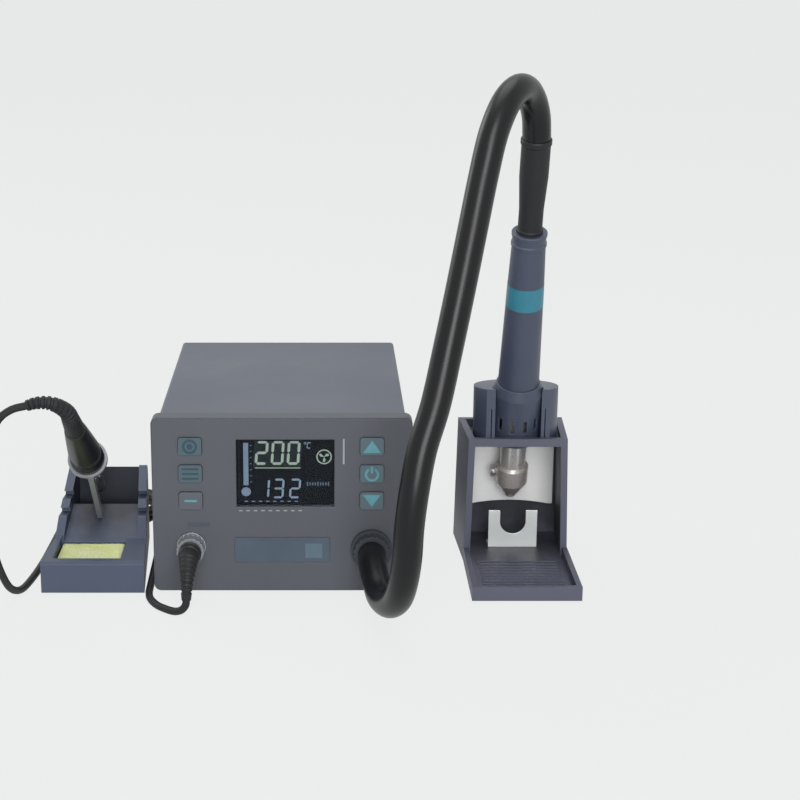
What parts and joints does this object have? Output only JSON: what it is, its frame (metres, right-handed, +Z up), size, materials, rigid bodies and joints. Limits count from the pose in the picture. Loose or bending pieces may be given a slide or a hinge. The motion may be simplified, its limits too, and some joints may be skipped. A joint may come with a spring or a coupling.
{
  "type": "hot air rework station",
  "caption": "Two-in-one rework station: grey case with display and keys, hot air handpiece on a black hose in its stand, soldering iron in a stand with sponge.",
  "frame": {"origin": "on the desk, under the middle of the box round the case and both stands, cords left out", "axes": "+X to the right as seen from the front, +Y to the back, +Z up from the desk"},
  "size_m": [0.4266, 0.378, 0.3788],
  "materials": {
    "case_grey": "fine satin powder coat",
    "bezel_grey": "satin moulded plastic",
    "sheet_steel": "plain zinc-plated sheet",
    "display_glass": "gloss tinted window",
    "display_dark": "dark liquid crystal panel",
    "board_green": "solder resist",
    "key_grey": "soft keys",
    "rubber_black": "matt rubber",
    "steel_bright": "bright steel",
    "core_steel": "laminated steel",
    "copper_winding": "taped winding",
    "aluminium": "bare",
    "black_plastic": "moulded",
    "white_plastic": "moulded",
    "brass_gold": "turned",
    "red_plastic": "moulded rocker",
    "tool_grey": "satin moulded plastic",
    "band_teal": "satin",
    "ceramic": "ceramic rod",
    "stand_dark": "satin moulded plastic",
    "ring_grey": "satin",
    "tip_copper": "plated copper",
    "sponge_green": "cellulose sponge"
  },
  "bodies": {
    "root": {"chassis": "sheet_steel", "top_cover": "case_grey", "rear_panel": "case_grey", "front_bezel": "bezel_grey", "display_window": "display_glass", "lcd_module": "display_dark", "display_board": "board_green", "station_feet": "rubber_black", "case_screws": "steel_bright", "transformer_core": "core_steel", "transformer_winding": "copper_winding", "control_board": "board_green", "heatsink": "aluminium", "blower_housing": "black_plastic", "blower_motor": "aluminium", "air_duct": "black_plastic", "hose_fitting": "black_plastic", "iron_socket": "steel_bright", "mains_inlet": "black_plastic", "rocker_frame": "black_plastic", "fuse_holder": "black_plastic", "earth_socket": "brass_gold", "holder_base": "stand_dark", "cradle": "tool_grey", "heat_shield": "steel_bright", "nozzle_rest": "steel_bright", "holder_feet": "rubber_black", "iron_stand": "stand_dark", "iron_ring": "ring_grey", "iron_stand_feet": "rubber_black", "air_hose": "rubber_black", "cord_to_plug": "rubber_black", "cord_coil": "rubber_black", "cord_to_iron": "rubber_black", "iron_plug": "black_plastic"},
    "key_l1": {"key_l1": "key_grey"},
    "key_l2": {"key_l2": "key_grey"},
    "key_l3": {"key_l3": "key_grey"},
    "key_r1": {"key_r1": "key_grey"},
    "key_r2": {"key_r2": "key_grey"},
    "key_r3": {"key_r3": "key_grey"},
    "rocker": {"power_rocker": "red_plastic"},
    "fan": {"impeller": "white_plastic"},
    "handpiece": {"grip": "tool_grey", "grip_band": "band_teal", "vent_shroud": "tool_grey", "heater_tube": "steel_bright", "heater_core": "ceramic", "nozzle": "steel_bright", "nozzle_screw": "steel_bright", "hose_sleeve": "rubber_black"},
    "iron": {"iron_grip": "black_plastic", "iron_collar": "steel_bright", "iron_barrel": "steel_bright", "iron_tip": "tip_copper", "iron_boot": "rubber_black"},
    "sponge": {"sponge": "sponge_green"},
    "plug_ring": {"plug_ring": "steel_bright"}
  },
  "joints": [
    {"name": "key_l1_press", "type": "slide", "parent": "root", "child": "key_l1", "axis": [0, 1, 0], "range_m": [0, 0.0008], "stiffness_N_per_m": 600, "springref_m": -0.0003},
    {"name": "key_l2_press", "type": "slide", "parent": "root", "child": "key_l2", "axis": [0, 1, 0], "range_m": [0, 0.0008], "stiffness_N_per_m": 600, "springref_m": -0.0003},
    {"name": "key_l3_press", "type": "slide", "parent": "root", "child": "key_l3", "axis": [0, 1, 0], "range_m": [0, 0.0008], "stiffness_N_per_m": 600, "springref_m": -0.0003},
    {"name": "key_r1_press", "type": "slide", "parent": "root", "child": "key_r1", "axis": [0, 1, 0], "range_m": [0, 0.0008], "stiffness_N_per_m": 600, "springref_m": -0.0003},
    {"name": "key_r2_press", "type": "slide", "parent": "root", "child": "key_r2", "axis": [0, 1, 0], "range_m": [0, 0.0008], "stiffness_N_per_m": 600, "springref_m": -0.0003},
    {"name": "key_r3_press", "type": "slide", "parent": "root", "child": "key_r3", "axis": [0, 1, 0], "range_m": [0, 0.0008], "stiffness_N_per_m": 600, "springref_m": -0.0003},
    {"name": "power_rocker_tilt", "type": "hinge", "parent": "root", "child": "rocker", "pos_m": [0.004, 0.142, 0.034], "axis": [1, 0, 0], "range_deg": [-18, 0]},
    {"name": "fan_spin", "type": "hinge", "parent": "root", "child": "fan", "pos_m": [0.011, 0.035, 0.036], "axis": [0, 0, 1], "continuous": true},
    {"name": "handpiece_lift", "type": "slide", "parent": "root", "child": "handpiece", "axis": [0, -0.309, 0.9511], "range_m": [0, 0.12], "deforming": ["air_hose"]},
    {"name": "iron_lift", "type": "slide", "parent": "root", "child": "iron", "axis": [0, -0.8192, 0.5736], "range_m": [0, 0.1], "deforming": ["cord_to_iron"]},
    {"name": "sponge_lift", "type": "slide", "parent": "root", "child": "sponge", "axis": [0, 0, 1], "range_m": [0, 0.03]},
    {"name": "plug_ring_turn", "type": "hinge", "parent": "root", "child": "plug_ring", "pos_m": [-0.086, -0.107, 0.039], "axis": [0, 1, 0], "range_deg": [0, 90]}
  ]
}
